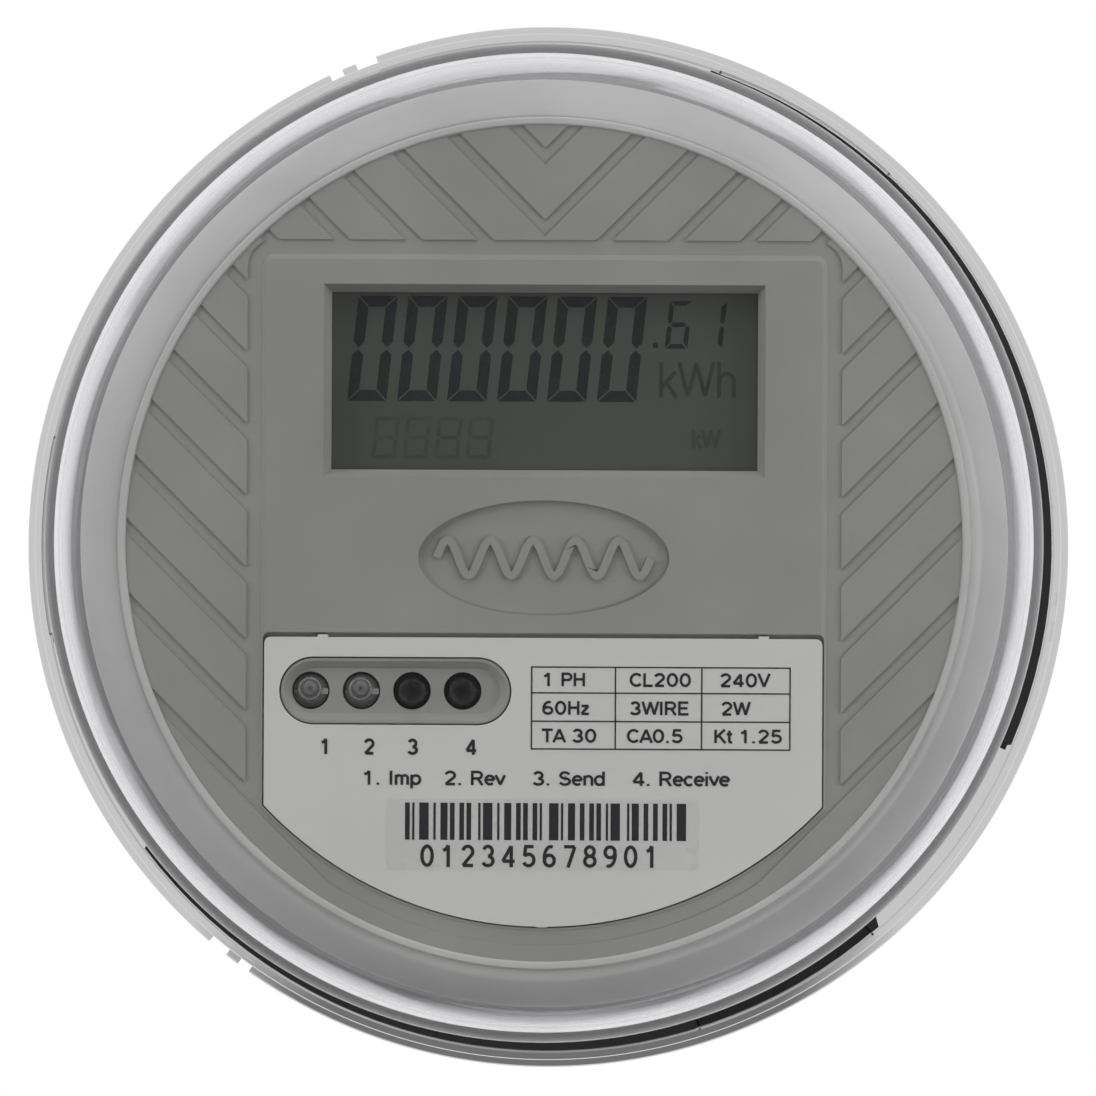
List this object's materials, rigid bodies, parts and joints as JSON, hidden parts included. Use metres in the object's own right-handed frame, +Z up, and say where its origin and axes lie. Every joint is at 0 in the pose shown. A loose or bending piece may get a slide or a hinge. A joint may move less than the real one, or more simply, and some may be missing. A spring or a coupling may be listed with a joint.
{
  "type": "smart electric meter",
  "caption": "Round plug-in electricity meter with a clear domed cover, grey grooved face, numeric display, LEDs and rear blades.",
  "frame": {"origin": "centre of the seating plane at the back of the base's flange", "axes": "+Y points back into the socket, so the face looks along -Y; +Z is up and +X is to the right seen from the front"},
  "size_m": [0.1762, 0.108, 0.1762],
  "materials": {
    "black_base": "fine moulded grain",
    "clear_cover": "polished clear polycarbonate",
    "seal_rubber": "matt grey silicone",
    "grey_housing": "fine moulded grain",
    "light_plate": "printed laminate",
    "display_glass": "reflective display",
    "black_plastic": "moulded",
    "white_plastic": "diffusing",
    "strip_rubber": "matt",
    "clear_led": "clear resin",
    "dark_led": "dark resin",
    "board_green": "solder mask",
    "blade_tin": "tin plated",
    "copper": "bare strip",
    "steel": "zinc plated",
    "can_metal": "drawn can",
    "core_metal": "taped core",
    "film_yellow": "moulded",
    "disc_blue": "dipped",
    "wire_red": "sleeved wire"
  },
  "bodies": {
    "meter_body": {"base": "black_base", "battery": "steel", "battery_holder": "black_plastic", "board_header": "black_plastic", "board_screws": "steel", "board_socket": "black_plastic", "board_spacers": "steel", "cotter_pins": "steel", "crystal": "can_metal", "ct_cradle": "black_plastic", "ct_leads": "wire_red", "current_strap": "copper", "current_transformer": "core_metal", "display_board": "board_green", "display_chip": "black_plastic", "electrolytic_caps": "can_metal", "faceplate": "grey_housing", "film_capacitor": "film_yellow", "gasket": "seal_rubber", "housing_drum": "grey_housing", "housing_screws": "steel", "import_led": "clear_led", "lcd_backlight": "white_plastic", "lcd_holder": "black_plastic", "lcd_panel": "display_glass", "led_holder": "black_plastic", "line_blade_left": "blade_tin", "line_blade_right": "blade_tin", "load_blade_left": "blade_tin", "load_blade_right": "blade_tin", "main_board": "board_green", "metering_chip": "black_plastic", "nameplate": "light_plate", "neutral_strap": "copper", "receive_led": "dark_led", "reverse_led": "clear_led", "send_led": "dark_led", "strap_screws": "steel", "varistor": "disc_blue", "voltage_leads": "wire_red", "zebra_strips": "strip_rubber"},
    "cover_body": {"cover": "clear_cover"}
  },
  "joints": [
    {"name": "cover_twist", "type": "hinge", "parent": "meter_body", "child": "cover_body", "pos_m": [0, 0, 0], "axis": [0, -1, 0], "range_deg": [0, 25.2]}
  ]
}
